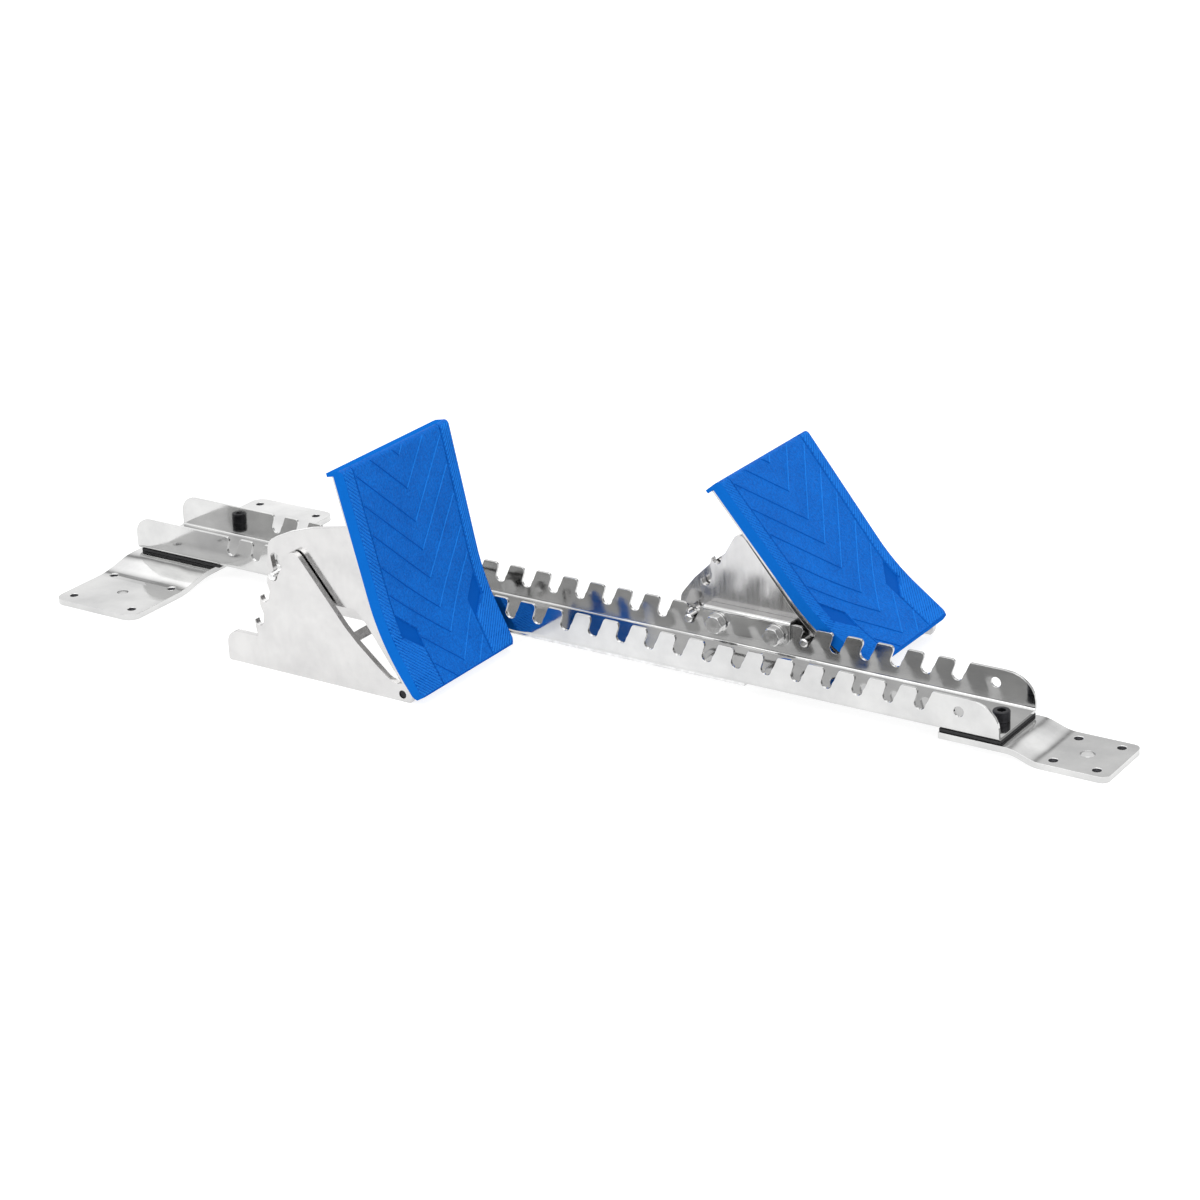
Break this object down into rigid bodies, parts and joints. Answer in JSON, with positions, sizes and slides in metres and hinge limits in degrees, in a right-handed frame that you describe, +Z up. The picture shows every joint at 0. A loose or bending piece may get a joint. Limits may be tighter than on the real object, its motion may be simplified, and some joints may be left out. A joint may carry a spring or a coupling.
{
  "type": "starting blocks",
  "caption": "Track starting blocks: notched steel rail on two ground anchors with two lift-off, angle-adjustable pedals faced in ribbed rubber.",
  "frame": {"origin": "centre of the footprint, on the ground plane under the anchor plates", "axes": "+X along the rail towards the start line, +Y across the rail towards the front pedal's side, +Z up"},
  "size_m": [0.8868, 0.3264, 0.1793],
  "materials": {
    "zinc": "bright zinc plate, smooth",
    "satin_plate": "satin zinc plate",
    "steel": "plain zinc-plated steel",
    "black_steel": "black oxide",
    "black_rubber": "matt",
    "blue_rubber": "matt, fine ribbed tread"
  },
  "bodies": {
    "rail": {"rail_channel": "zinc", "rear_anchor_plate": "zinc", "front_anchor_plate": "zinc", "rear_anchor_pad": "black_rubber", "front_anchor_pad": "black_rubber", "centre_support_strip": "steel", "rear_anchor_screw": "black_steel", "front_anchor_screw": "black_steel", "rear_anchor_nut": "black_steel", "front_anchor_nut": "black_steel"},
    "rear_unit": {"rear_outer_side_plate": "satin_plate", "rear_inner_side_plate": "satin_plate", "rear_tie_bar": "steel", "rear_slider_bracket": "zinc", "rear_slider_washer_rear": "zinc", "rear_slider_washer_front": "zinc", "rear_slider_bolt_rear": "steel", "rear_slider_bolt_front": "steel", "rear_lock_pin_rear": "steel", "rear_lock_pin_front": "steel", "rear_hinge_pin": "black_steel"},
    "rear_pedal": {"rear_pedal_back_plate": "satin_plate", "rear_pedal_arm_outer": "satin_plate", "rear_pedal_arm_inner": "satin_plate", "rear_rubber_pad": "blue_rubber"},
    "front_unit": {"front_outer_side_plate": "satin_plate", "front_inner_side_plate": "satin_plate", "front_tie_bar": "steel", "front_slider_bracket": "zinc", "front_slider_washer_rear": "zinc", "front_slider_washer_front": "zinc", "front_slider_bolt_rear": "steel", "front_slider_bolt_front": "steel", "front_lock_pin_rear": "steel", "front_lock_pin_front": "steel", "front_hinge_pin": "black_steel"},
    "front_pedal": {"front_pedal_back_plate": "satin_plate", "front_pedal_arm_outer": "satin_plate", "front_pedal_arm_inner": "satin_plate", "front_rubber_pad": "blue_rubber", "front_angle_pin": "steel"},
    "rear_pin": {"rear_angle_pin": "steel"}
  },
  "joints": [
    {"name": "rear_unit_lift", "type": "slide", "parent": "rail", "child": "rear_unit", "axis": [0.4067, 0, 0.9135], "range_m": [0, 0.019]},
    {"name": "rear_pedal_tilt", "type": "hinge", "parent": "rear_unit", "child": "rear_pedal", "pos_m": [-0.07256, -0.0943, 0.0058], "axis": [0, 1, 0], "range_deg": [0, 10]},
    {"name": "front_unit_lift", "type": "slide", "parent": "rail", "child": "front_unit", "axis": [0.4067, 0, 0.9135], "range_m": [0, 0.019]},
    {"name": "front_pedal_tilt", "type": "hinge", "parent": "front_unit", "child": "front_pedal", "pos_m": [0.20684, 0.0943, 0.0058], "axis": [0, 1, 0], "range_deg": [0, 37]},
    {"name": "rear_pin_rise", "type": "slide", "parent": "rear_pedal", "child": "rear_pin", "axis": [-0.1801, 0, 0.9836], "range_m": [0, 0.0075]}
  ],
  "couplings": [
    {"joint": "rear_pin_rise", "follows": "rear_pedal_tilt", "m_per_rad": 0.0415}
  ]
}
